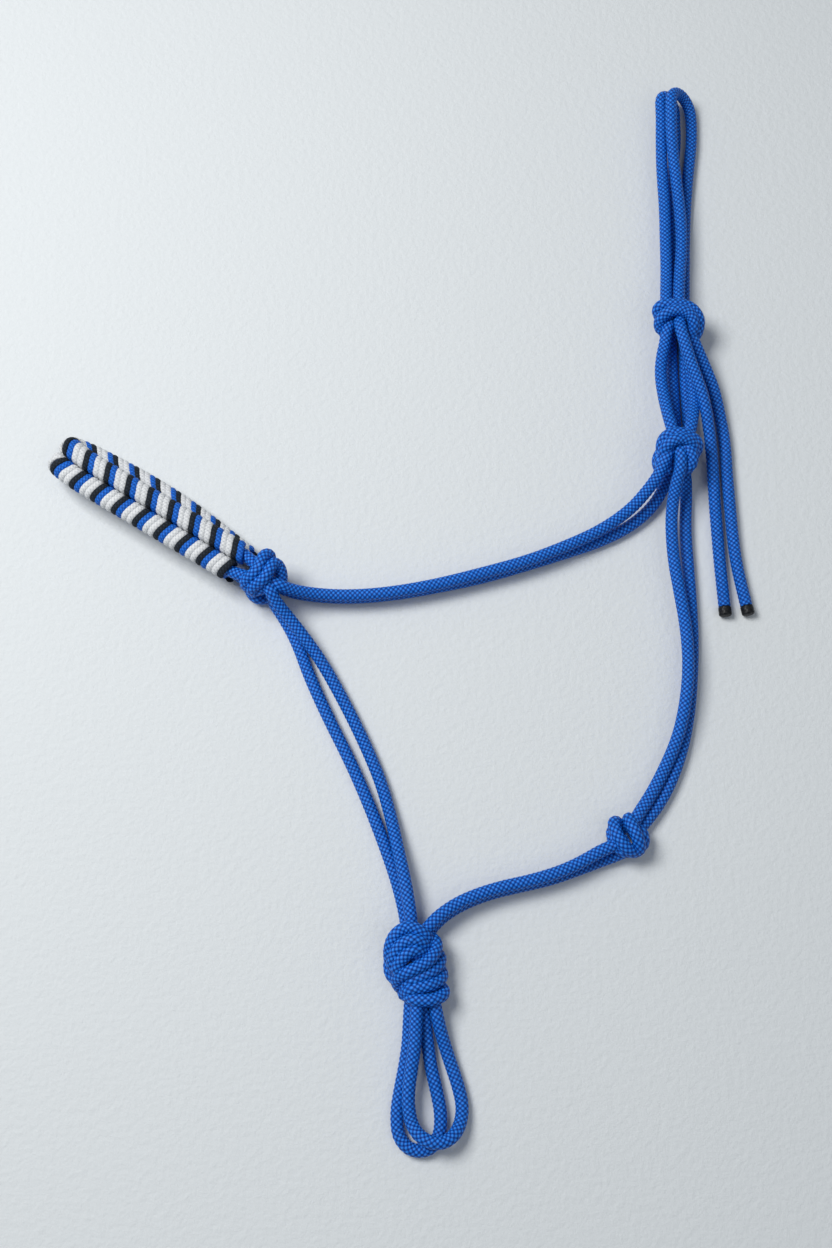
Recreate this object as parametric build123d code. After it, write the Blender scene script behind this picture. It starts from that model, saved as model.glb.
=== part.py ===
"""Knotted rope head halter, folded in half and laid flat, off side under near side.

One 6 mm braided cord is tied into the face loop, crown and tie; four 3 mm cords are laced
round the noseband. The rope is divided at its knots: each span and each knot is a solid.
Millimetres. Z is up from the surface it lies on, Y runs from the lead loops to the poll,
X from the noseband to the crown. The origin is the centre of the box, at the surface.
"""
from build123d import *
import os
from math import cos, pi, radians, tan

CORD_D = 6.0                    # halter rope
CORD_R = CORD_D / 2
LACE_D = 3.0                    # noseband lacing, laid side by side
LACE_T = 2.3                    # the same, pulled flat against the core
GAP = 0.3                       # clearance between parts that move past each other
ARC_SHARE = 0.45                # of the shorter run beside a corner, taken by its arc

# Knots: centre (x, y), radius, bottom and top. Near ones lie on top of far ones.
NOSE = (-64.5, -6.5)
NOSE_R = 12.5
CHEEK = (134.5, 56.5)
CHEEK_R = 12.0
TIE = (138.5, 128.5)
TIE_R = 12.0
JAW = (104.5, -127.5)
JAW_R = 10.5
FIADOR_TOP = (6.0, -180.0)
FIADOR_LOW = (8.5, -190.5)
FIADOR_R = 14.0
PAIR_SPLIT_Z = 14.0             # top of a far knot; its near twin starts GAP above
PAIR_TOP_Z = 28.0
SINGLE_TOP_Z = 16.0
FIADOR_TOP_Z = 18.0
TIE_BOTTOM_Z = CORD_D + 2 * GAP
TIE_TOP_Z = 23.0
KNOT_EDGE = 5.5                 # rounding of a knot's rims

# Noseband: two lobes, each a core cord wrapped in lacing, folded over at its far end.
BAND_ANGLE = 148.4              # from +X, pointing away from the nose knots
LOBE_R = CORD_R + LACE_T
BAND_END = 109.0                # nose knots to the centre of the fold
BAND_FAR_Z = LOBE_R
BAND_NEAR_Z = BAND_FAR_Z + 11.6
BAND_FAR_SHIFT = -6.0           # the far half lies this far across the near one's line
CHEVRON_LEAN = 22.0             # the lacing leans this much from square to the band
LACES = ["white_a", "white_b", "black", "blue"]

TIP_LENGTH = 5.0                # dipped ends of the tie tails

# Routes of the cords: corner points, each rounded by a tangent arc.
CHEEK_NEAR = [(-57, -10.5, 21), (-50.5, -12, 15), (-38.5, -12.5, 10), (-23.5, -13, 9.3),
              (-4.5, -11.5, 9.3), (17.5, -7.5, 9.3), (38.5, -2, 9.3), (60, 4, 9.3), (78, 11, 9.3),
              (96.5, 19.5, 9.3), (111.5, 30, 9.8), (122, 40.5, 12), (127.5, 47.5, 16), (130.5, 53, 20)]
CHEEK_FAR = [(-56, -8.5, 7), (-48, -10.5, 3), (-26, -12.5, 3), (-2, -10.5, 3), (19.5, -6.5, 3),
             (40, -2, 3), (60, 4, 3), (78.5, 10, 3), (97.5, 16.5, 3), (113, 24.5, 3), (124.5, 35, 3.5),
             (131, 47, 6)]
CHIN_NEAR = [(-63, -13, 21), (-58, -18, 16.5), (-53, -23.5, 12), (-46.5, -31, 9), (-37, -43.5, 4.5),
             (-26.5, -62, 3), (-17, -81, 3), (-8.5, -100.5, 3), (-3.5, -118, 4), (0, -134, 7),
             (3, -147, 9.3), (5, -158.5, 10), (5.5, -168.5, 11)]
CHIN_FAR = [(-61, -14.5, 7), (-55, -22.5, 3.4), (-48.5, -34.5, 3), (-42.5, -51, 3), (-33, -71.5, 3),
            (-23, -91, 3), (-14.5, -110, 3), (-7, -129, 3), (-1.5, -144.5, 3), (2, -157, 3.5),
            (4, -169, 5)]
THROAT_UPPER_NEAR = [(137, 50, 21), (134, 43, 17), (132, 34, 12.5), (131, 22.5, 10), (131.5, 5, 9.3),
                     (134, -13.5, 9.3), (136, -30, 9.3), (136.3, -47, 9.3), (134.2, -64, 9.3),
                     (129.9, -81.3, 8.2), (123, -96.1, 6.2), (116.5, -107.7, 6.2), (107.8, -120.2, 9.6)]
THROAT_UPPER_FAR = [(140, 51, 6.5), (140.5, 40.5, 3.2), (139, 22.5, 3), (139.5, 3, 3), (140, -15.5, 3),
                    (140, -33, 3), (138.5, -52.5, 3), (136.5, -68, 3), (133, -84, 3), (127.5, -99, 3),
                    (121, -111, 3), (111, -123, 4.5)]
THROAT_LOWER_NEAR = [(99.5, -131, 11.5), (92, -134, 9.8), (82.5, -139.5, 9.3), (72, -144, 9.3),
                     (60, -147.5, 9.3), (48, -150, 9.3), (37.5, -153, 9.3), (27.5, -157, 9.3),
                     (18.5, -162.5, 9.6), (13, -168.5, 11.5)]
THROAT_LOWER_FAR = [(100.5, -135, 4.5), (92, -138, 3), (81.5, -142, 3), (70, -146, 3), (57, -149, 3),
                    (45.5, -151.5, 3), (34.5, -155, 3), (25, -159.5, 3), (17, -165.5, 3.4),
                    (13, -171, 5.5)]
TIE_LEG_LEFT = [(133.5, 62, 20), (131.5, 73, 18), (130, 86, 14), (129, 101, 11.5), (130.5, 112, 11.5),
                (133, 121.5, 12)]
TIE_LEG_RIGHT = [(139.5, 61, 20), (142.5, 72.5, 16.5), (145.6, 86.5, 10.3), (145.3, 100, 9.3),
                 (143.5, 112.5, 9.3), (142, 122, 9.3)]
POLL_LEFT = [(133.5, 133, 14), (133.5, 142.5, 13), (135, 158.5, 10), (135.5, 177.5, 9.3),
             (136, 196, 9.3), (135.5, 216.7, 9.3), (135.7, 231.4, 10), (136, 242.1, 11.3), (136.3, 251, 11.8),
             (136.2, 258.8, 12), (139, 262.2, 9.8), (142.3, 262.2, 6.2), (144.7, 258.8, 3.6),
             (144.8, 250, 3), (144.6, 239.2, 3), (142.6, 221.6, 3), (140.8, 201.5, 3), (139.5, 178, 3),
             (138.3, 155, 3), (137.3, 132.5, 3), (136.5, 113, 3), (136.6, 96.5, 3), (136.8, 81.5, 3.5),
             (136.5, 69, 5), (136, 60, 6)]
POLL_RIGHT = [(140.3, 133, 14), (140, 142.5, 13), (141.5, 156.5, 10.5), (143.5, 171.5, 9.3),
              (144, 187.5, 9.3), (142.8, 206.2, 10.5), (141, 224, 13), (140.3, 238.4, 15.4),
              (140.5, 248.5, 17), (140.8, 257.3, 17), (144.4, 262.4, 12.7), (149.6, 262.4, 7.3),
              (153.2, 257.3, 3.5), (153.5, 248, 3), (152.8, 236.5, 3), (150.5, 221.1, 3), (148, 201.4, 3),
              (146.2, 178, 3), (145, 155, 3), (144, 135.5, 3), (143.2, 116, 3), (143, 99.5, 3),
              (143.2, 84.5, 3.5), (143, 70, 5), (141, 60, 6)]
TAIL_LEFT = [(139, 127, 19.8), (140.5, 116.5, 18.8), (143, 106.5, 17.6), (146.3, 96.5, 16.4),
             (149.7, 85.5, 14.5), (152, 72, 10.5), (153.5, 57, 6.5), (154, 39, 3.6), (154.5, 21.5, 3),
             (155, 3, 3), (156, -16.5, 3)]
TAIL_RIGHT = [(146, 126.5, 13), (149.3, 116.5, 11.5), (152.5, 106.5, 8.5), (156.5, 96, 6), (159, 83, 4),
              (161, 68.5, 3), (161, 51.5, 3), (161.5, 34, 3), (162, 16, 3), (163.5, 0, 3),
              (166.5, -16, 3)]
LEAD_LEFT = [(5.5, -199.5, 6), (5, -209, 5), (4.5, -219, 3.6), (3, -228.5, 3), (1, -238, 3),
             (-0.5, -247, 3), (0, -256.5, 3), (4, -262, 3), (9.5, -263.5, 3), (15, -262, 3),
             (18.5, -256.5, 3), (19, -248, 3), (17, -238, 3), (14.5, -228, 3), (13, -217.5, 3.4),
             (12, -208.5, 4.5), (12, -199.5, 6)]
LEAD_RIGHT = [(8.5, -200, 12.5), (8, -209, 11.3), (7.5, -219, 9.8), (6, -229, 8.8), (4.5, -239, 8.2),
              (5, -248.5, 7), (7.5, -255, 8), (12.5, -259, 9.5), (18.5, -260, 9.3), (24, -257.5, 7.5),
              (27.5, -252, 4.5), (28.5, -244.5, 3), (26.5, -236, 3), (23, -226, 3), (20, -217, 4.5),
              (17.8, -208, 8.5), (16.5, -200, 10)]


def corner_radii(points):
    """Arc radius at each inner point: as large as its two runs allow."""
    corners = [Vector(*p) for p in points]
    radii = []
    for before, here, after in zip(corners, corners[1:], corners[2:]):
        run_in = here - before
        run_out = after - here
        half_turn = radians(run_in.get_angle(run_out) / 2)
        radii.append(ARC_SHARE * min(run_in.length, run_out.length) / tan(half_turn))
    return radii


def cord(name, points):
    """A rope span: a round tube along straight runs joined by tangent arcs."""
    radii = corner_radii(points)
    path = FilletPolyline(*points, radius=radii)
    section = Plane(origin=path @ 0, z_dir=path % 0) * Circle(CORD_R)
    tube = sweep(section, path=path)
    share = tube.volume / (pi * CORD_R**2 * path.length)
    print(f"{name}: length {path.length:.1f}, tightest arc {min(radii):.1f}, volume ratio {share:.4f}")
    return tube


def knot(centre, radius, bottom, top):
    """A single round knot: a puck with well rounded rims."""
    height = top - bottom
    puck = Pos(centre[0], centre[1], bottom + height / 2) * Cylinder(radius, height)
    return fillet(puck.edges().filter_by(GeomType.CIRCLE), min(KNOT_EDGE, height / 2 - 0.5))


def long_knot(upper, lower, radius, top):
    """The fiador knot: a puck stretched from one centre to the other."""
    outline = make_hull([Pos(*upper) * Circle(radius).edge(), Pos(*lower) * Circle(radius).edge()])
    block = extrude(outline, top)
    return fillet(block.faces().filter_by(Axis.Z).edges(), KNOT_EDGE)


def outside(shape, centre, radius):
    """The part of a cord that lies clear of the round knot it turns about."""
    socket = Pos(*centre) * Cylinder(radius + GAP, 4 * PAIR_TOP_Z)
    pieces = (shape - socket).solids()
    return Compound(children=list(pieces)) if len(pieces) > 1 else pieces[0]


def in_band(shape):
    """Moves a shape drawn along +X from the nose knots into the noseband's direction."""
    return Pos(*NOSE) * Rot(0, 0, BAND_ANGLE) * shape


def lobe_centre(x, side, near):
    """Centre of a lobe at a place along the noseband, in the near or the far half."""
    if near:
        return Vector(x, side * LOBE_R, BAND_NEAR_Z)
    return Vector(x, side * LOBE_R + BAND_FAR_SHIFT, BAND_FAR_Z)


def lobe_run(side, near, radius, start=0.0):
    """One straight half of a lobe or of its core, from start to the fold."""
    run = Cylinder(radius, BAND_END - start, align=(Align.CENTER, Align.CENTER, Align.MIN))
    return Plane(origin=lobe_centre(start, side, near), z_dir=(1, 0, 0)).location * run


def lobe_fold(side, radius):
    """The half turn at the end of a lobe or of its core, from near half to far half."""
    upper = lobe_centre(BAND_END, side, True)
    lower = lobe_centre(BAND_END, side, False)
    section = Plane(origin=upper, z_dir=(1, 0, 0)) * Circle(radius)
    hinge = (upper - lower).cross(Vector(1, 0, 0))
    return revolve(section, Axis((upper + lower) / 2, hinge), 180)


def band_core(side):
    """One 6 mm core cord of the noseband: near half, fold and far half."""
    start = NOSE_R + GAP + CORD_R
    runs = lobe_run(side, True, CORD_R, start) + lobe_run(side, False, CORD_R, start)
    return in_band(runs + lobe_fold(side, CORD_R))


def band_bar(near):
    """Both lobes of one half of the noseband, with the core cords taken out."""
    bar = lobe_run(1, near, LOBE_R) + lobe_run(-1, near, LOBE_R)
    middle = (lobe_centre(0, 1, near) + lobe_centre(BAND_END, -1, near)) / 2
    web = Pos(middle) * Box(BAND_END, LOBE_R, CORD_R)
    cores = lobe_run(1, near, CORD_R) + lobe_run(-1, near, CORD_R)
    return bar + web - cores


def chevron(start):
    """A V-shaped slab, one lace wide, that cuts one turn of lacing out of a bar."""
    reach = 2.5 * LOBE_R
    lean = reach * tan(radians(CHEVRON_LEAN))
    outline = Polyline(
        (start, 0),
        (start + lean, reach),
        (start + lean + LACE_D, reach),
        (start + LACE_D, 0),
        (start + lean + LACE_D, -reach),
        (start + lean, -reach),
        close=True,
    )
    return extrude(make_face(outline), 2 * BAND_NEAR_Z)


def band_lacing():
    """The four laces, each every fourth chevron of both halves; white_a also covers the fold."""
    near_bar = band_bar(True)
    far_bar = band_bar(False)
    socket = Cylinder(NOSE_R + GAP, 4 * PAIR_TOP_Z)
    first = NOSE_R - 2 * LOBE_R * tan(radians(CHEVRON_LEAN))
    turns = {lace: [] for lace in LACES}
    for number in range(int((BAND_END - first) / LACE_D) + 1):
        cutter = chevron(first + number * LACE_D)
        near_lace = LACES[-1 - number % len(LACES)]
        far_lace = LACES[number % len(LACES)]
        turns[near_lace] += ((near_bar & cutter) - socket).solids()
        turns[far_lace] += ((far_bar & cutter) - socket).solids()
    fold = lobe_fold(1, LOBE_R) + lobe_fold(-1, LOBE_R) - lobe_fold(1, CORD_R) - lobe_fold(-1, CORD_R)
    turns["white_a"] += fold.solids()
    return {lace: in_band(Compound(children=solids)) for lace, solids in turns.items()}


def tail_tip(points):
    """The dipped, rounded end of a tie tail, past the last point of its route."""
    before = Vector(*points[-2])
    end = Vector(*points[-1])
    tip = Cylinder(CORD_R, TIP_LENGTH, align=(Align.CENTER, Align.CENTER, Align.MIN))
    rounded = fillet(tip.edges().filter_by(GeomType.CIRCLE).sort_by(Axis.Z)[-1], CORD_R / 3)
    return Plane(origin=end, z_dir=end - before).location * rounded


def save(name, shape):
    export_step(shape, f"parts/{name}.step")


os.makedirs("parts", exist_ok=True)

near_span = (PAIR_SPLIT_Z + GAP, PAIR_TOP_Z)
far_span = (0, PAIR_SPLIT_Z)
save("nose_knot_near", knot(NOSE, NOSE_R, *near_span))
save("nose_knot_far", knot(NOSE, NOSE_R, *far_span))
save("cheek_knot_near", knot(CHEEK, CHEEK_R, *near_span))
save("cheek_knot_far", knot(CHEEK, CHEEK_R, *far_span))
save("jaw_knot", knot(JAW, JAW_R, 0, SINGLE_TOP_Z))
save("fiador_knot", long_knot(FIADOR_TOP, FIADOR_LOW, FIADOR_R, FIADOR_TOP_Z))
save("crown_tie_knot", knot(TIE, TIE_R, TIE_BOTTOM_Z, TIE_TOP_Z))

face_cords = {
    "cheek_cord_near": CHEEK_NEAR,
    "cheek_cord_far": CHEEK_FAR,
    "chin_cord_near": CHIN_NEAR,
    "chin_cord_far": CHIN_FAR,
    "throat_upper_near": THROAT_UPPER_NEAR,
    "throat_upper_far": THROAT_UPPER_FAR,
    "throat_lower_near": THROAT_LOWER_NEAR,
    "throat_lower_far": THROAT_LOWER_FAR,
}
for name, route in face_cords.items():
    save(name, cord(name, route))

crown_cords = {
    "tie_loop_leg_left": TIE_LEG_LEFT,
    "tie_loop_leg_right": TIE_LEG_RIGHT,
    "poll_cord_left": POLL_LEFT,
    "poll_cord_right": POLL_RIGHT,
}
for name, route in crown_cords.items():
    save(name, outside(cord(name, route), CHEEK, CHEEK_R))

for name, route in {"left": TAIL_LEFT, "right": TAIL_RIGHT}.items():
    tail = cord(f"tie_tail_{name}", route)
    save(f"tie_tail_{name}", outside(tail, TIE, TIE_R))
    save(f"tail_tip_{name}", tail_tip(route))

for name, route in {"left": LEAD_LEFT, "right": LEAD_RIGHT}.items():
    loop = cord(f"lead_loop_{name}", route)
    save(f"lead_loop_{name}", outside(loop, FIADOR_LOW, FIADOR_R))

save("noseband_core_upper", band_core(-1))
save("noseband_core_lower", band_core(1))
for lace, turns in band_lacing().items():
    save(f"noseband_lace_{lace}", turns)
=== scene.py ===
"""Looks of the knotted rope halter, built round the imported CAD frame.

Every rope span follows the same route as its CAD solid, as a braid of 14 yarns. Each knot is
a few short strands of the same braid laid over each other, and the noseband is two cores
wound with four laces. Routes are in millimetres in the CAD frame and become metres in
spline_points().
"""
from math import ceil, cos, pi, radians, sin
import bpy
import numpy as np
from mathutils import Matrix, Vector


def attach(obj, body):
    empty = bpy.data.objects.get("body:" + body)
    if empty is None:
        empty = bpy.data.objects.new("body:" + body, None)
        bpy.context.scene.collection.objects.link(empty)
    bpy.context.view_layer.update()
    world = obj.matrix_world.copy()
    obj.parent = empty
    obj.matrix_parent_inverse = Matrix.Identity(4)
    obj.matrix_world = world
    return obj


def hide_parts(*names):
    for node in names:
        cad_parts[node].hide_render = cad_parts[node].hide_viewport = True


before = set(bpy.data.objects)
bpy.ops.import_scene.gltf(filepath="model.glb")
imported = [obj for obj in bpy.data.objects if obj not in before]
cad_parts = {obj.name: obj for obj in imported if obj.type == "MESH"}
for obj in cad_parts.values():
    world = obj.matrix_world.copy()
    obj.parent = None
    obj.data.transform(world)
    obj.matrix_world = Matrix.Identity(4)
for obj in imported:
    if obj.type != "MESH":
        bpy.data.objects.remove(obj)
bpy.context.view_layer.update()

MM = 0.001                      # metres in a millimetre
ROPE_D = 6.0                    # the rope's width, which sets the scale of the whole halter
CORE_D = ROPE_D                 # the noseband's cores are the same rope
LACE_W = 3.6                    # a lace's width along the band
LACE_STEP = 3.05                # from one lace to the next, which presses on it
LACE_T = 2.3                    # a lace's thickness, pulled flat

# ------------------------------------------------------------------ camera
CAMERA_AT = (0.008, -0.2228, 0.69235)
CAMERA_TILT = 16.0              # degrees back from straight down
camera_data = bpy.data.cameras.new("camera")
camera_data.sensor_fit = "VERTICAL"
camera_data.sensor_height = 36.0
camera_data.lens = 43.27
camera = bpy.data.objects.new("camera", camera_data)
camera.location = CAMERA_AT
camera.rotation_euler = (radians(CAMERA_TILT), 0, 0)
bpy.context.scene.collection.objects.link(camera)
bpy.context.scene.camera = camera

# ------------------------------------------------------------------ routes of the spans
CHEEK_NEAR = [(-61, -9, 19), (-57, -10.5, 20), (-50.5, -12, 15), (-38.5, -12.5, 10), (-23.5, -13, 9.3),
              (-4.5, -11.5, 9.3), (17.5, -7.5, 9.3), (38.5, -2, 9.3), (60, 4, 9.3), (78, 11, 9.3),
              (96.5, 19.5, 9.3), (111.5, 30, 9.8), (121, 40.5, 12.5), (125.5, 46.5, 16.5),
              (128, 52.5, 20), (130, 57.5, 21), (132, 61.5, 18)]
CHEEK_FAR = [(-60, -7, 8), (-56, -8.5, 7), (-48, -10.5, 3), (-26, -12.5, 3), (-2, -10.5, 3),
             (19.5, -6.5, 3), (40, -2, 3), (60, 4, 3), (78.5, 10, 3), (97.5, 16.5, 3), (113, 24.5, 3),
             (124.5, 35, 3.5), (130.5, 46, 6), (133, 53, 9.5)]
CHIN_NEAR = [(-62.5, -9, 20), (-60.5, -13.5, 20), (-58, -18, 16.5), (-53, -23.5, 12), (-46.5, -31, 9),
             (-37, -43.5, 4.5), (-26.5, -62, 3), (-17, -81, 3), (-8.5, -100.5, 3), (-3.5, -118, 4),
             (0, -134, 7), (3, -147, 9.3), (5, -158.5, 9.6), (6, -167, 9), (7, -174, 8)]
CHIN_FAR = [(-62, -9, 8), (-61, -14.5, 7), (-55, -22.5, 3.4), (-48.5, -34.5, 3), (-42.5, -51, 3),
            (-33, -71.5, 3), (-23, -91, 3), (-14.5, -110, 3), (-7, -129, 3), (-1.5, -144.5, 3),
            (2, -157, 3.3), (4, -168, 4), (5, -175, 5)]
THROAT_UPPER_NEAR = [(135.5, 62, 18), (135, 57.5, 21.5), (135.5, 52, 22), (135, 47, 20), (133.6, 42, 16.5),
                     (132, 34, 12.5), (131, 22.5, 10), (131.5, 5, 9.3), (134, -13.5, 9.3),
                     (136, -30, 9.3), (136.3, -47, 9.3), (134.2, -64, 9.3), (129.9, -81.3, 8.2),
                     (123, -96.1, 6.2), (116.5, -107.7, 6.2), (109.5, -117.5, 7.8), (105.5, -124.5, 9)]
THROAT_UPPER_FAR = [(139, 55, 8), (140, 51, 6.5), (140.5, 40.5, 3.2), (139, 22.5, 3), (139.5, 3, 3),
                    (140, -15.5, 3), (140, -33, 3), (138.5, -52.5, 3), (136.5, -68, 3), (133, -84, 3),
                    (127.5, -99, 3), (121, -111, 3), (113, -121, 3.6), (107, -127, 5)]
THROAT_LOWER_NEAR = [(104, -129, 9), (98.5, -131.5, 10), (92, -134, 9.8), (82.5, -139.5, 9.3),
                     (72, -144, 9.3), (60, -147.5, 9.3), (48, -150, 9.3), (37.5, -153, 9.3),
                     (27.5, -157, 9.3), (19, -162.5, 9.6), (13, -168.5, 9.8), (9, -174, 8)]
THROAT_LOWER_FAR = [(105, -133, 5.5), (99.5, -135.5, 4), (92, -138, 3), (81.5, -142, 3), (70, -146, 3),
                    (57, -149, 3), (45.5, -151.5, 3), (34.5, -155, 3), (25, -159.5, 3),
                    (17, -165.5, 3.4), (12, -172, 5)]
TIE_LEG_LEFT = [(135, 57, 16), (133.8, 64, 17.8), (131.5, 73, 18), (130, 86, 14), (129, 101, 11.5),
                (130.3, 111, 11.5), (132, 117.5, 12.5), (132.5, 122, 14), (134, 126.5, 14.5),
                (136, 132, 12.5)]
TIE_LEG_RIGHT = [(138, 57, 15), (139.8, 64, 17), (142.5, 72.5, 16), (145.6, 86.5, 10.3),
                 (145.3, 100, 9.3), (143.5, 112.5, 9.3), (142, 122, 9.3), (141, 128, 10.5)]
POLL_LEFT = [(133, 127, 13.5), (133.5, 134, 13.5), (133.5, 142.5, 13), (135, 158.5, 10),
             (135.5, 177.5, 9.3), (136, 196, 9.3), (135.5, 216.7, 9.3), (135.7, 231.4, 10),
             (136, 242.1, 11.3), (136.3, 251, 11.8), (136.2, 258.8, 12), (139, 262.2, 9.8),
             (142.3, 262.2, 6.2), (144.7, 258.8, 3.6), (144.8, 250, 3), (144.6, 239.2, 3),
             (142.6, 221.6, 3), (140.8, 201.5, 3), (139.5, 178, 3), (138.3, 155, 3), (137.3, 132.5, 3),
             (136.5, 113, 3), (136.6, 96.5, 3), (136.8, 81.5, 3.5), (136.5, 69, 5), (136, 60, 6)]
POLL_RIGHT = [(140.5, 127, 13.5), (140.3, 134, 13.5), (140, 142.5, 13), (141.5, 156.5, 10.5),
              (143.5, 171.5, 9.3), (144, 187.5, 9.3), (142.8, 206.2, 10.5), (141, 224, 13),
              (140.3, 238.4, 15.4), (140.5, 248.5, 17), (140.8, 257.3, 17), (144.4, 262.4, 12.7),
              (149.6, 262.4, 7.3), (153.2, 257.3, 3.5), (153.5, 248, 3), (152.8, 236.5, 3),
              (150.5, 221.1, 3), (148, 201.4, 3), (146.2, 178, 3), (145, 155, 3), (144, 135.5, 3),
              (143.2, 116, 3), (143, 99.5, 3), (143.2, 84.5, 3.5), (143, 70, 5), (141, 60, 6)]
TAIL_LEFT = [(140.5, 133.5, 13), (139, 129, 16.5), (139, 122.5, 19), (140.5, 115.5, 19),
             (143, 106.5, 17.6), (146.3, 96.5, 16.4), (149.7, 85.5, 14.5), (152, 72, 10.5),
             (153.5, 57, 6.5), (154, 39, 3.6), (154.5, 21.5, 3), (155, 3, 3), (156, -16.5, 3)]
TAIL_RIGHT = [(143, 130, 11.5), (143.5, 126, 13.5), (145.5, 121, 13.3), (148.2, 115.5, 11.3),
              (152.2, 106.5, 8.5), (156.5, 96, 6), (159, 83, 4), (161, 68.5, 3), (161, 51.5, 3),
              (161.5, 34, 3), (162, 16, 3), (163.5, 0, 3), (166.5, -16, 3)]
LEAD_LEFT = [(6, -193, 4.5), (5.5, -200, 3.5), (5, -209, 3), (4.5, -219, 3), (3, -228.5, 3),
             (1, -238, 3), (-0.5, -247, 3), (0, -256.5, 3), (4, -262, 3), (9.5, -263.5, 3),
             (15, -262, 3), (18.5, -256.5, 3), (19, -248, 3), (17, -238, 3), (14.5, -228, 3),
             (13, -217.5, 3.2), (12, -208.5, 4), (11.5, -200, 5), (11, -193, 5.5)]
LEAD_RIGHT = [(8.5, -193, 9), (8.5, -200.5, 9.3), (8, -209, 9.3), (7.5, -219, 9.2), (6, -229, 8.8),
              (4.5, -239, 8.2), (5, -248.5, 7), (7.5, -255, 8), (12.5, -259, 9.5), (18.5, -260, 9.3),
              (24, -257.5, 7.5), (27.5, -252, 4.5), (28.5, -244.5, 3), (26.5, -236, 3), (23, -226, 3),
              (20, -217, 4.5), (17.6, -208, 7.5), (16, -200, 8.5), (14.5, -193, 8.5)]

# ------------------------------------------------------------------ strands of the knots
TIE_KNOT = [
    [(134.5, 128.5, 11), (130.5, 132.5, 11), (128.5, 135, 14), (130.5, 136.5, 17), (135.5, 136.5, 18),
     (141.5, 136, 18), (146, 134, 17.5), (149, 129.5, 16.5), (149, 125, 14.5), (147.5, 121.5, 12),
     (144, 120.5, 9.5)],
    [(135, 123.5, 11), (131, 125, 11), (129, 127.5, 14), (130.5, 130, 18.5), (135.5, 132, 20.3),
     (140, 132, 20.5), (144, 130, 20), (146, 126, 18.5), (146, 123, 15.5), (144.5, 120, 12)],
]
CHEEK_KNOT_NEAR = [
    [(134, 55.5, 17), (129.5, 55.5, 17), (126.5, 58, 18.5), (127, 62, 20.5), (129.5, 64.5, 22),
     (135, 65.5, 22.5), (140, 64, 21.8), (144, 61.5, 20), (144.5, 59, 17.5), (142.5, 56.5, 16)],
    [(131, 53.5, 17), (127.5, 55, 19), (128, 58, 23), (131.5, 60.5, 25), (135.5, 61.5, 25),
     (139.5, 60.5, 23.8), (142.5, 58.5, 21), (142, 56.5, 18)],
    [(135, 60.5, 19), (138.5, 58.5, 21.5), (141, 54.5, 21.5), (141, 50.5, 19.5), (138.5, 48.5, 17),
     (135, 50, 15)],
    [(130.5, 49, 15), (126.5, 49.5, 16), (125.5, 53, 17), (128.5, 56, 17)],
    [(130, 51, 14), (133, 54, 16.5), (136.5, 57, 16.5)],
]
CHEEK_KNOT_FAR = [
    [(133, 50, 5), (127.5, 53, 4), (126.5, 59, 5.5), (130.5, 64.5, 7), (137, 65, 7.5), (142, 61, 6.5),
     (143, 55, 5), (139, 50, 4)],
    [(131, 53, 10), (129, 57, 11), (132, 61, 11.5), (137, 61.5, 11.5), (140, 57.5, 11), (138, 53, 9.5)],
]
NOSE_KNOT_NEAR = [
    [(-69, -11.5, 15), (-72.5, -10, 17.5), (-72, -8.5, 20.5), (-68.5, -7, 23.5), (-65.5, -4, 24.8),
     (-64.5, 0.5, 24.3), (-62.5, 4, 22), (-60.5, 3.5, 19), (-61.5, 1, 16)],
    [(-67.5, -13, 16), (-70, -12.5, 18), (-67, -11, 21.5), (-63, -9, 23.8), (-61, -5, 24.2),
     (-59.5, -1.5, 23), (-57.5, -0.5, 20.5), (-55.5, -3.5, 18), (-55.5, -7, 16)],
    [(-73, -8.5, 15), (-70.5, -12, 15.5), (-66, -12.5, 17), (-61.5, -11, 18.5), (-58.5, -9, 18)],
    [(-63, -6.5, 17), (-61, -10.5, 19), (-59, -14, 18.5)],
]
NOSE_KNOT_FAR = [
    [(-60, -11, 4), (-66, -14, 4.5), (-71.5, -10.5, 5), (-71, -4, 6.5), (-65.5, 0, 7), (-59, -1, 6.5),
     (-55.5, -5.5, 5), (-58, -10, 4)],
    [(-68, -9, 10), (-68, -4, 11), (-63.5, -2, 11.5), (-59.5, -5, 11), (-61, -9.5, 9.5)],
]
JAW_KNOT = [
    [(104, -124.5, 4), (100.5, -120.5, 6), (98, -121, 9.5), (98.5, -125.5, 12.3), (100.5, -130, 13),
     (103.5, -133.5, 12), (107, -135, 9), (109, -132, 5.5)],
    [(98, -124.5, 5), (97.5, -128.5, 8), (99.5, -132.5, 9.5), (103.5, -135, 8.5), (106.5, -133, 5)],
    [(108, -124.5, 4.5), (105.5, -120, 6.5), (105, -119, 9.8), (106, -123, 12.5), (108, -127.5, 13),
     (109.5, -131.5, 11.5), (109.5, -134, 8), (107, -134, 5)],
    [(108.5, -130, 4.5), (111.5, -131.5, 5.5), (112, -128.5, 7), (111, -125, 8), (108, -124, 7)],
]
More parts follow.
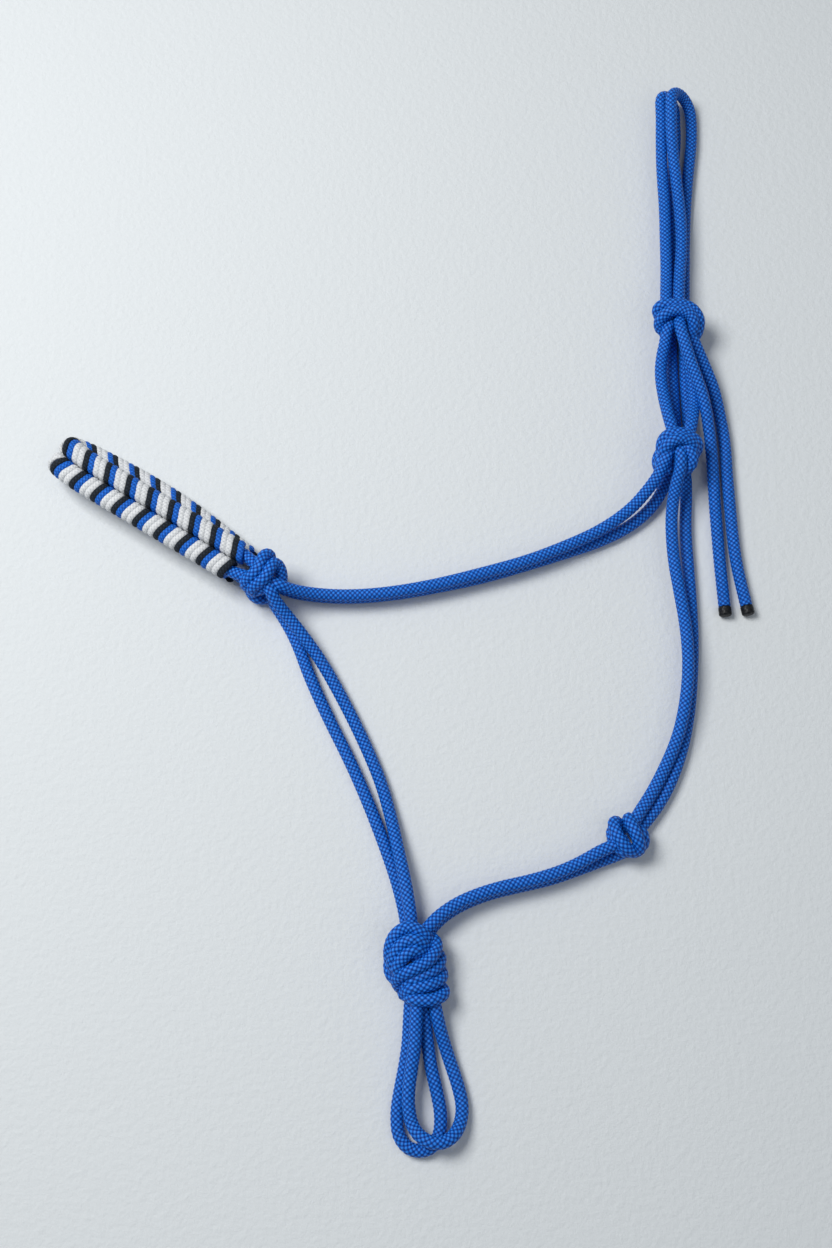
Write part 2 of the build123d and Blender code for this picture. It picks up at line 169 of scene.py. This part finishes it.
FIADOR_KNOT = [
    [(2.5, -185.5, 4), (-3, -184, 7), (-4, -180, 10.5), (-3, -174.5, 13.5), (0, -170.5, 15),
     (4.5, -168.5, 15.5), (9.5, -170, 15.3), (13, -172.5, 13), (14.5, -176.5, 9), (13, -179.5, 5)],
    [(1.5, -188.5, 5), (-2, -187, 9), (-2.5, -182.5, 13), (0, -177.5, 16), (4, -174.5, 17),
     (8, -174, 17), (11.5, -175.5, 15), (13.5, -178, 11)],
    [(3, -190, 8), (0, -188.5, 11.5), (-0.5, -185.5, 14.5), (2.5, -181.5, 16.6), (6, -179, 17),
     (9.5, -178.5, 15.8), (12, -180.5, 12)],
    [(13.5, -172, 7), (17, -174, 10), (17, -178.5, 13), (14, -183, 15.3), (9, -186, 16),
     (4.5, -188, 15.5), (0.5, -189.5, 12.5), (-1, -192.5, 8), (2, -195, 4.5)],
    [(16, -178, 4), (19, -180.5, 7), (18.5, -184.5, 10.5), (14.5, -188, 13), (10, -190, 13.5),
     (5, -192, 12.5), (2.5, -194, 8)],
    [(17, -185, 3.5), (20, -187.5, 6), (19, -191, 10), (14.5, -193.5, 13), (9.5, -194.5, 13.3),
     (4.5, -195.5, 12), (2.5, -197.5, 7)],
    [(16, -193, 3.5), (20.5, -194.5, 6), (20, -198, 10), (15, -200, 12.5), (10, -200, 12.8),
     (5.5, -199.5, 11), (3, -196, 6)],
    [(0, -178, 3.2), (-3.5, -181, 4), (-4, -186, 4.5), (-2.5, -190, 5), (1.5, -192.5, 5)],
    [(2, -177, 10), (5, -180, 12.5), (8.5, -181.8, 13.6), (12, -184, 12)],
]

# ------------------------------------------------------------------ route of the noseband
# In its own lengthwise (x), crosswise (y) and upward (z) millimetres from the nose knots.
NOSE = (-64.5, -6.5)
BAND_ANGLE = 148.4               # degrees from the frame's x axis to the band's
LOBE_R = CORE_D / 2 + LACE_T     # from the middle of a core to the outside of its laces
UPPER, LOWER = -1, 1             # the two lobes, by the side of the band's line they lie on
# The band's middle: out on top, round the fold and back underneath.
BAND_LINE = [(12.5, 0, 17.2), (30, 0, 17), (60, 0, 16.9), (90, 0, 16.9), (104, 0, 16.9), (111, -0.8, 16.6),
             (116.5, -2, 14.6), (117.5, -3.4, 11), (116, -5, 7), (109.5, -6.4, 5.4), (97, -7.2, 5.3),
             (80, -8, 5.3), (60, -7.8, 5.3), (42, -6.2, 5.3), (26, -4, 5.3), (12.5, -2.4, 5.3)]
LACES = ["black", "white_a", "white_b", "blue"]
LOBE_START = {UPPER: 3.9, LOWER: 2.7}    # where a lobe's winding starts, so the turns meet (mm)
LEAN_SHARE = {UPPER: 0.34, LOWER: 0.21}  # share of a turn's advance made across the face
GROOVE_FILL = 0.18               # the turns bulge this share of their radius into the groove
LACE_POINTS = 64                 # in one turn
# A core's ends, which spread from the nose knots to the lobes: x, the band's middle y there,
# the spread either side of it, and z.
CORE_ENTRY = [(3, 0, 2.5, 19), (9, 0, 4.6, 18), (17, 0, LOBE_R, 17.2)]
CORE_EXIT = [(17, -2.8, LOBE_R, 5.3), (9, -1.6, 4.4, 5.8), (3, 0, 2.5, 7)]

# ------------------------------------------------------------------ mesh tools
SAME_POINT = 1e-6                # metres: nearer points than this are one
NEARLY_UPRIGHT = 0.9             # cosine to the vertical past which another first normal is used
CROSSING = 0.45                  # how far a yarn rises and dips as it crosses the others
ROUNDNESS = 0.55                 # how far its middle stands over its edges
GAP_LIFT = 0.1                   # lifts the gaps, so that they are not too wide
SECOND_FAMILY = 3.0              # added to the fibre value of the yarns that lean the other way
CLOSED_END = 0.02                # a tapered end closes to this share of its width


def spline_points(route, spacing=0.35):
    """The points, in metres, of the NURBS spline that has this route for control points."""
    longest = max((Vector(b) - Vector(a)).length for a, b in zip(route, route[1:]))
    curve = bpy.data.curves.new("route", "CURVE")
    curve.dimensions = "3D"
    curve.resolution_u = max(6, ceil(longest / spacing))
    spline = curve.splines.new("NURBS")
    spline.points.add(len(route) - 1)
    for point, place in zip(spline.points, route):
        point.co = (*(Vector(place) * MM), 1)
    spline.order_u = 3
    spline.use_endpoint_u = True
    carrier = bpy.data.objects.new("route", curve)
    mesh = bpy.data.meshes.new_from_object(carrier)
    points = np.array([v.co for v in mesh.vertices], float)
    bpy.data.objects.remove(carrier)
    bpy.data.curves.remove(curve)
    bpy.data.meshes.remove(mesh)
    keep = np.r_[True, np.linalg.norm(np.diff(points, axis=0), axis=1) > SAME_POINT]
    return points[keep]


def unit(vectors):
    """The vectors at length 1."""
    return vectors / np.linalg.norm(vectors, axis=-1, keepdims=True)


def tangents(points):
    """The direction of a line at each of its points."""
    return unit(np.gradient(points, axis=0))


def carried_normals(points):
    """Normals along a line that turn with it and do not twist about it."""
    along = tangents(points)
    normal = np.array((0.0, 0.0, 1.0))
    if abs(normal @ along[0]) > NEARLY_UPRIGHT:
        normal = np.array((0.0, 1.0, 0.0))
    normals = np.empty_like(points)
    for i, direction in enumerate(along):
        normal = normal - (normal @ direction) * direction
        normal = normal / np.linalg.norm(normal)
        normals[i] = normal
    return normals


def arc_lengths(points):
    """The distance along a line from its start to each of its points."""
    return np.r_[0.0, np.cumsum(np.linalg.norm(np.diff(points, axis=0), axis=1))]


def braid_height(across, along):
    """Height of a braid's surface, 0 in its gaps to 1 on its yarns, and the place across the yarn.

    Each yarn passes over one and under one of those leaning the other way. across counts yarns
    round the cord and along counts repeats down its length."""
    u = across - along
    v = across + along
    i = np.round(u)
    j = np.round(v)
    right = CROSSING * np.cos(pi * (v - i)) + ROUNDNESS * np.cos(pi * (u - i))
    left = -CROSSING * np.cos(pi * (u - j)) + ROUNDNESS * np.cos(pi * (v - j))
    height = np.clip((np.maximum(right, left) + GAP_LIFT) / (1 + GAP_LIFT), 0, 1)
    fibre = np.where(right > left, u - i, v - j + SECOND_FAMILY)
    return height, fibre


class Tubes:
    """Braided tubes gathered into one mesh."""

    def __init__(self):
        self.verts = []
        self.faces = []
        self.caps = []
        self.ridge = []
        self.fibre = []
        self.count = 0

    def add(self, points, width, height=None, normals=None, yarns=7, repeat=2.3, depth=0.42,
            around=56, taper=0.0, phase=0.0):
        """One tube along points (metres); width, height, repeat, depth and taper in millimetres.

        yarns is how many lean each way, repeat is the distance down the tube from one yarn to
        the next, depth is how far the gaps sink and taper is the length of a rounded end."""
        height = width if height is None else height
        normals = carried_normals(points) if normals is None else normals
        along = tangents(points)
        sides = np.cross(along, normals)
        length = arc_lengths(points)
        angle = np.linspace(0, 2 * pi, around, endpoint=False)
        a, s = np.meshgrid(angle, length)
        ridge, fibre = braid_height(a / (2 * pi) * yarns + phase, s / (repeat * MM))
        sink = (1 - ridge) * depth * MM
        shrink = np.ones_like(s)
        if taper:
            near_end = np.minimum(s, length[-1] - s) / (taper * MM)
            round_end = 1 - (1 - np.clip(near_end, 0, 1)) ** 2
            shrink = np.sqrt(np.clip(round_end, CLOSED_END ** 2, 1))
        half_w = (width * MM / 2 - sink) * shrink
        half_h = (height * MM / 2 - sink) * shrink
        verts = (points[:, None] + sides[:, None] * (np.cos(a) * half_w)[..., None]
                 + normals[:, None] * (np.sin(a) * half_h)[..., None])
        rows = len(points)
        ring = np.arange(around)
        next_ring = (ring + 1) % around
        row_start = (np.arange(rows - 1) * around)[:, None]
        quads = np.stack([row_start + ring, row_start + next_ring, row_start + around + next_ring,
                          row_start + around + ring], axis=-1).reshape(-1, 4)
        last = (rows - 1) * around
        tip = rows * around
        start_cap = np.stack([next_ring, ring, np.full(around, tip)], axis=-1)
        end_cap = np.stack([last + ring, last + next_ring, np.full(around, tip + 1)], axis=-1)
        self.faces.append(quads + self.count)
        self.caps.append(np.concatenate([start_cap, end_cap]) + self.count)
        self.verts.append(np.concatenate([verts.reshape(-1, 3), points[[0, -1]]]))
        # the two last values are for the middles of the end caps
        self.ridge.append(np.r_[ridge.reshape(-1), 0.5, 0.5])
        self.fibre.append(np.r_[fibre.reshape(-1), 0.0, 0.0])
        self.count += tip + 2
        return self

    def piece(self, name, material, body, slot, replaced):
        """The gathered tubes as one object that rides on a body and stands for CAD nodes."""
        verts = np.concatenate(self.verts)
        quads = np.concatenate(self.faces)
        triangles = np.concatenate(self.caps)
        mesh = bpy.data.meshes.new(name)
        mesh.vertices.add(len(verts))
        mesh.vertices.foreach_set("co", verts.astype(np.float32).ravel())
        mesh.loops.add(quads.size + triangles.size)
        corners = np.r_[quads.ravel(), triangles.ravel()]
        mesh.loops.foreach_set("vertex_index", corners.astype(np.int32))
        mesh.polygons.add(len(quads) + len(triangles))
        starts = np.r_[np.arange(len(quads)) * 4, quads.size + np.arange(len(triangles)) * 3]
        mesh.polygons.foreach_set("loop_start", starts.astype(np.int32))
        mesh.polygons.foreach_set("use_smooth", np.ones(len(starts), bool))
        for label, values in (("ridge", self.ridge), ("fibre", self.fibre)):
            layer = mesh.attributes.new(label, "FLOAT", "POINT")
            layer.data.foreach_set("value", np.concatenate(values).astype(np.float32))
        mesh.update(calc_edges=True)
        mesh.validate()
        mesh.materials.append(material)
        thing = bpy.data.objects.new(name, mesh)
        bpy.context.scene.collection.objects.link(thing)
        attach(thing, body)
        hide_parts(*replaced)
        return thing


# ------------------------------------------------------------------ materials


def node_graph(material):
    """Turns a material's nodes on and gives them and their links."""
    material.use_nodes = True
    return material.node_tree.nodes, material.node_tree.links


def braid_material(name, painted_gap_shade, yarn, light, roughness, sheen, fibres, fibre_depth, mottle):
    """A braid: colour by height on the yarn, with painted shade in the gaps and a painted highlight on the
    yarn tops, fine filaments along it, and slight mottling.
    """
    material = bpy.data.materials.new(name)
    nodes, wires = node_graph(material)
    shader = nodes["Principled BSDF"]
    shader.inputs["Roughness"].default_value = roughness
    shader.inputs["Sheen Weight"].default_value = sheen
    shader.inputs["Sheen Roughness"].default_value = 0.45
    shader.inputs["Sheen Tint"].default_value = (*light, 1)
    shader.inputs["Specular IOR Level"].default_value = 0.22

    ridge = nodes.new("ShaderNodeAttribute")
    ridge.attribute_name = "ridge"
    fibre = nodes.new("ShaderNodeAttribute")
    fibre.attribute_name = "fibre"
    place = nodes.new("ShaderNodeTexCoord")

    # painted shade and highlight: the ridge height sets the colour, the gap colour darkening the low parts
    # between the yarns and the light colour lightening the yarn tops
    ramp = nodes.new("ShaderNodeValToRGB")
    ramp.color_ramp.elements[0].color = (*painted_gap_shade, 1)
    ramp.color_ramp.elements[0].position = 0.34
    ramp.color_ramp.elements[1].color = (*light, 1)
    ramp.color_ramp.elements[1].position = 1.0
    middle = ramp.color_ramp.elements.new(0.70)
    middle.color = (*yarn, 1)
    wires.new(ridge.outputs["Fac"], ramp.inputs["Fac"])

    cloud = nodes.new("ShaderNodeTexNoise")
    cloud.inputs["Scale"].default_value = 420.0
    cloud.inputs["Detail"].default_value = 3.0
    wires.new(place.outputs["Object"], cloud.inputs["Vector"])
    tone = nodes.new("ShaderNodeMapRange")
    tone.inputs["To Min"].default_value = 1.0 - mottle
    tone.inputs["To Max"].default_value = 1.0 + mottle
    wires.new(cloud.outputs["Fac"], tone.inputs["Value"])
    shade = nodes.new("ShaderNodeVectorMath")
    shade.operation = "SCALE"
    wires.new(ramp.outputs["Color"], shade.inputs[0])
    wires.new(tone.outputs["Result"], shade.inputs["Scale"])
    wires.new(shade.outputs["Vector"], shader.inputs["Base Color"])

    count = nodes.new("ShaderNodeMath")
    count.operation = "MULTIPLY"
    count.inputs[1].default_value = 2 * pi * fibres
    wires.new(fibre.outputs["Fac"], count.inputs[0])
    wave = nodes.new("ShaderNodeMath")
    wave.operation = "SINE"
    wires.new(count.outputs["Value"], wave.inputs[0])
    bump = nodes.new("ShaderNodeBump")
    bump.inputs["Strength"].default_value = 0.6
    bump.inputs["Distance"].default_value = fibre_depth * MM
    wires.new(wave.outputs["Value"], bump.inputs["Height"])
    wires.new(bump.outputs["Normal"], shader.inputs["Normal"])
    return material


# each braid's gap colour is painted shade and its light colour a painted highlight
rope_blue = braid_material("rope_blue", painted_gap_shade=(0.001, 0.026, 0.17), yarn=(0.001, 0.098, 0.52),
                           light=(0.035, 0.29, 0.95), roughness=0.42, sheen=0.0, fibres=4,
                           fibre_depth=0.05, mottle=0.18)
lace_blue = braid_material("lace_blue", painted_gap_shade=(0.001, 0.035, 0.20), yarn=(0.003, 0.11, 0.55),
                           light=(0.03, 0.22, 0.82), roughness=0.6, sheen=0.05, fibres=3,
                           fibre_depth=0.04, mottle=0.2)
lace_white = braid_material("lace_white", painted_gap_shade=(0.50, 0.52, 0.55), yarn=(0.72, 0.74, 0.76),
                            light=(0.80, 0.81, 0.82), roughness=0.8, sheen=0.1, fibres=3,
                            fibre_depth=0.04, mottle=0.06)
lace_black = braid_material("lace_black", painted_gap_shade=(0.004, 0.005, 0.007), yarn=(0.009, 0.014, 0.022),
                            light=(0.030, 0.042, 0.06), roughness=0.75, sheen=0.1, fibres=3,
                            fibre_depth=0.04, mottle=0.25)
dip_black = braid_material("dip_black", painted_gap_shade=(0.003, 0.003, 0.004), yarn=(0.008, 0.009, 0.011),
                           light=(0.016, 0.017, 0.02), roughness=0.42, sheen=0.0, fibres=1,
                           fibre_depth=0.02, mottle=0.3)

# ------------------------------------------------------------------ rope spans
SPANS = [
    # node, route, body, length (m)
    ("cheek_cord_near", CHEEK_NEAR, "face_loop", 0.22),
    ("cheek_cord_far", CHEEK_FAR, "face_loop", 0.215),
    ("chin_cord_near", CHIN_NEAR, "face_loop", 0.185),
    ("chin_cord_far", CHIN_FAR, "face_loop", 0.18),
    ("throat_upper_near", THROAT_UPPER_NEAR, "face_loop", 0.2),
    ("throat_upper_far", THROAT_UPPER_FAR, "face_loop", 0.19),
    ("throat_lower_near", THROAT_LOWER_NEAR, "face_loop", 0.108),
    ("throat_lower_far", THROAT_LOWER_FAR, "face_loop", 0.102),
    ("tie_loop_leg_left", TIE_LEG_LEFT, "crown", 0.077),
    ("tie_loop_leg_right", TIE_LEG_RIGHT, "crown", 0.073),
    ("poll_cord_left", POLL_LEFT, "crown", 0.345),
    ("poll_cord_right", POLL_RIGHT, "crown", 0.35),
    ("lead_loop_left", LEAD_LEFT, "lead_loops", 0.15),
    ("lead_loop_right", LEAD_RIGHT, "lead_loops", 0.145),
]
TAILS = [
    # node, the node of its dipped end, route, body, length (m)
    ("tie_tail_left", "tail_tip_left", TAIL_LEFT, "left_tail", 0.152),
    ("tie_tail_right", "tail_tip_right", TAIL_RIGHT, "right_tail", 0.15),
]


def rope(name, route, body):
    """One span of rope and the points along its middle."""
    points = spline_points(route)
    tubes = Tubes().add(points, ROPE_D)
    return tubes.piece(f"{name}_braid", rope_blue, body, "blue_rope", [name]), points


for name, route, body, length in SPANS:
    piece, points = rope(name, route, body)

DIP_LINE = (-0.4, 1.2, 3.0, 5.0)  # millimetres past the end of the rope
DIP_WALL = 0.25                   # what the dip adds to the rope's width
for name, tip_name, route, body, length in TAILS:
    piece, points = rope(name, route, body)
    end = Vector(route[-1])
    way = (end - Vector(route[-2])).normalized()
    dip_route = [tuple(end + way * past) for past in DIP_LINE]
    dip = Tubes().add(spline_points(dip_route, spacing=0.1), ROPE_D + DIP_WALL, depth=0.16, taper=1.1)
    tip = dip.piece(f"{tip_name}_dip", dip_black, body, "black_dip", [tip_name])

# ------------------------------------------------------------------ knots
KNOTS = [
    ("crown_tie_knot", TIE_KNOT, "crown"),
    ("cheek_knot_near", CHEEK_KNOT_NEAR, "face_loop"),
    ("cheek_knot_far", CHEEK_KNOT_FAR, "face_loop"),
    ("nose_knot_near", NOSE_KNOT_NEAR, "face_loop"),
    ("nose_knot_far", NOSE_KNOT_FAR, "face_loop"),
    ("jaw_knot", JAW_KNOT, "face_loop"),
    ("fiador_knot", FIADOR_KNOT, "face_loop"),
]
STRAND_PHASE = 0.37              # turns the weave from strand to strand, so they do not line up
for name, strands, body in KNOTS:
    tubes = Tubes()
    for number, strand in enumerate(strands):
        tubes.add(spline_points(strand), ROPE_D, phase=STRAND_PHASE * number)
    tubes.piece(f"{name}_turns", rope_blue, body, "blue_rope", [name])

# ------------------------------------------------------------------ noseband


def from_band(place):
    """A point in the noseband's own millimetres, as a point in the frame's millimetres."""
    x, y, z = place
    turn = radians(BAND_ANGLE)
    return (NOSE[0] + x * cos(turn) - y * sin(turn), NOSE[1] + x * sin(turn) + y * cos(turn), z)


def lobe_line(side):
    """The middle of one lobe, along both halves of the noseband and round its fold."""
    return spline_points([from_band((x, y + side * LOBE_R, z)) for x, y, z in BAND_LINE])


ACROSS = np.array([-sin(radians(BAND_ANGLE)), cos(radians(BAND_ANGLE)), 0.0])


def wound_lace(tubes, side, number):
    """One lace wound round one lobe, from the nose knots and back to them."""
    line = lobe_line(side)
    length = arc_lengths(line)
    along = tangents(line)
    lead = len(LACES) * LACE_STEP * MM
    offset = (number * LACE_STEP + LOBE_START[side]) * MM % lead
    turns = (length[-1] - offset) / lead
    angle = np.linspace(0, 2 * pi * turns, int(turns * LACE_POINTS))
    share = LEAN_SHARE[side]
    face = share * (1 - np.cos(angle)) / 2
    back = share + (1 - share) * (1 + np.cos(angle)) / 2
    at = offset + (angle // (2 * pi) + np.where(angle % (2 * pi) < pi, face, back)) * lead
    middle = np.stack([np.interp(at, length, line[:, k]) for k in range(3)], axis=-1)
    way = unit(np.stack([np.interp(at, length, along[:, k]) for k in range(3)], axis=-1))
    cross = unit(ACROSS - (way @ ACROSS)[:, None] * way)
    up = np.cross(way, cross)
    out = -side * cross * np.cos(angle)[:, None] + up * np.sin(angle)[:, None]
    fill = np.where(np.cos(angle) > 0, GROOVE_FILL * np.sin(2 * angle) ** 2, 0)
    points = middle + out * ((1 + fill) * (CORE_D + LACE_T) / 2 * MM)[:, None]
    tubes.add(points, LACE_W, LACE_T, normals=out, yarns=4, repeat=1.5, depth=0.14, around=20)


LACE_LOOKS = {
    "blue": (lace_blue, "blue_lace"),
    "black": (lace_black, "black_lace"),
    "white_a": (lace_white, "white_lace"),
    "white_b": (lace_white, "white_lace"),
}
for number, lace in enumerate(LACES):
    tubes = Tubes()
    wound_lace(tubes, LOWER, number)
    wound_lace(tubes, UPPER, number)
    material, slot = LACE_LOOKS[lace]
    tubes.piece(f"noseband_lace_{lace}_wound", material, "noseband", slot, [f"noseband_lace_{lace}"])

for side, name in ((UPPER, "upper"), (LOWER, "lower")):
    wound_part = [(x, y, LOBE_R, z) for x, y, z in BAND_LINE[1:-1]]
    route = [from_band((x, y + side * spread, z))
             for x, y, spread, z in CORE_ENTRY + wound_part + CORE_EXIT]
    core = Tubes().add(spline_points(route, spacing=0.5), CORE_D, around=40)
    node = f"noseband_core_{name}"
    core.piece(f"{node}_braid", rope_blue, "noseband", "blue_rope", [node])

# ------------------------------------------------------------------ floor and light
floor_mesh = bpy.data.meshes.new("floor")
HALF = 2.5                       # of the floor's side, in metres
BELOW = 0.0002                   # metres it lies under z = 0, where the rope rests
corners = [(-HALF, -HALF, 0), (HALF, -HALF, 0), (HALF, HALF, 0), (-HALF, HALF, 0)]
floor_mesh.from_pydata(corners, [], [(0, 1, 2, 3)])
floor = bpy.data.objects.new("floor", floor_mesh)
floor.location.z = -BELOW
bpy.context.scene.collection.objects.link(floor)
pale = bpy.data.materials.new("pale_floor")
nodes, wires = node_graph(pale)
pale_shader = nodes["Principled BSDF"]
pale_shader.inputs["Base Color"].default_value = (0.71, 0.745, 0.765, 1)
pale_shader.inputs["Roughness"].default_value = 0.95
nap = nodes.new("ShaderNodeTexNoise")
nap.inputs["Scale"].default_value = 300.0
nap.inputs["Detail"].default_value = 8.0
nap.inputs["Roughness"].default_value = 0.62
nap_bump = nodes.new("ShaderNodeBump")
nap_bump.inputs["Strength"].default_value = 0.35
nap_bump.inputs["Distance"].default_value = 0.002
place = nodes.new("ShaderNodeTexCoord")
wires.new(place.outputs["Object"], nap.inputs["Vector"])
wires.new(nap.outputs["Fac"], nap_bump.inputs["Height"])
wires.new(nap_bump.outputs["Normal"], pale_shader.inputs["Normal"])
floor_mesh.materials.append(pale)

world = bpy.data.worlds.new("studio")
world.use_nodes = True
sky = world.node_tree.nodes["Background"]
sky.inputs["Color"].default_value = (0.86, 0.92, 1.0, 1)
sky.inputs["Strength"].default_value = 0.22
bpy.context.scene.world = world


def softbox(name, at, size, power, colour):
    """A square area light, sizes in metres and power in watts, that faces the origin."""
    light = bpy.data.lights.new(name, "AREA")
    light.size = size
    light.energy = power
    light.color = colour
    lamp = bpy.data.objects.new(name, light)
    lamp.location = at
    lamp.rotation_euler = (-Vector(at)).to_track_quat("-Z", "Y").to_euler()
    bpy.context.scene.collection.objects.link(lamp)


softbox("window", (-0.58, 0.25, 1.05), 0.55, 13.5, (1.0, 0.99, 0.97))
softbox("fill", (0.6, -0.5, 1.3), 1.2, 2.6, (0.94, 0.97, 1.0))
bpy.context.scene.view_settings.view_transform = "Standard"
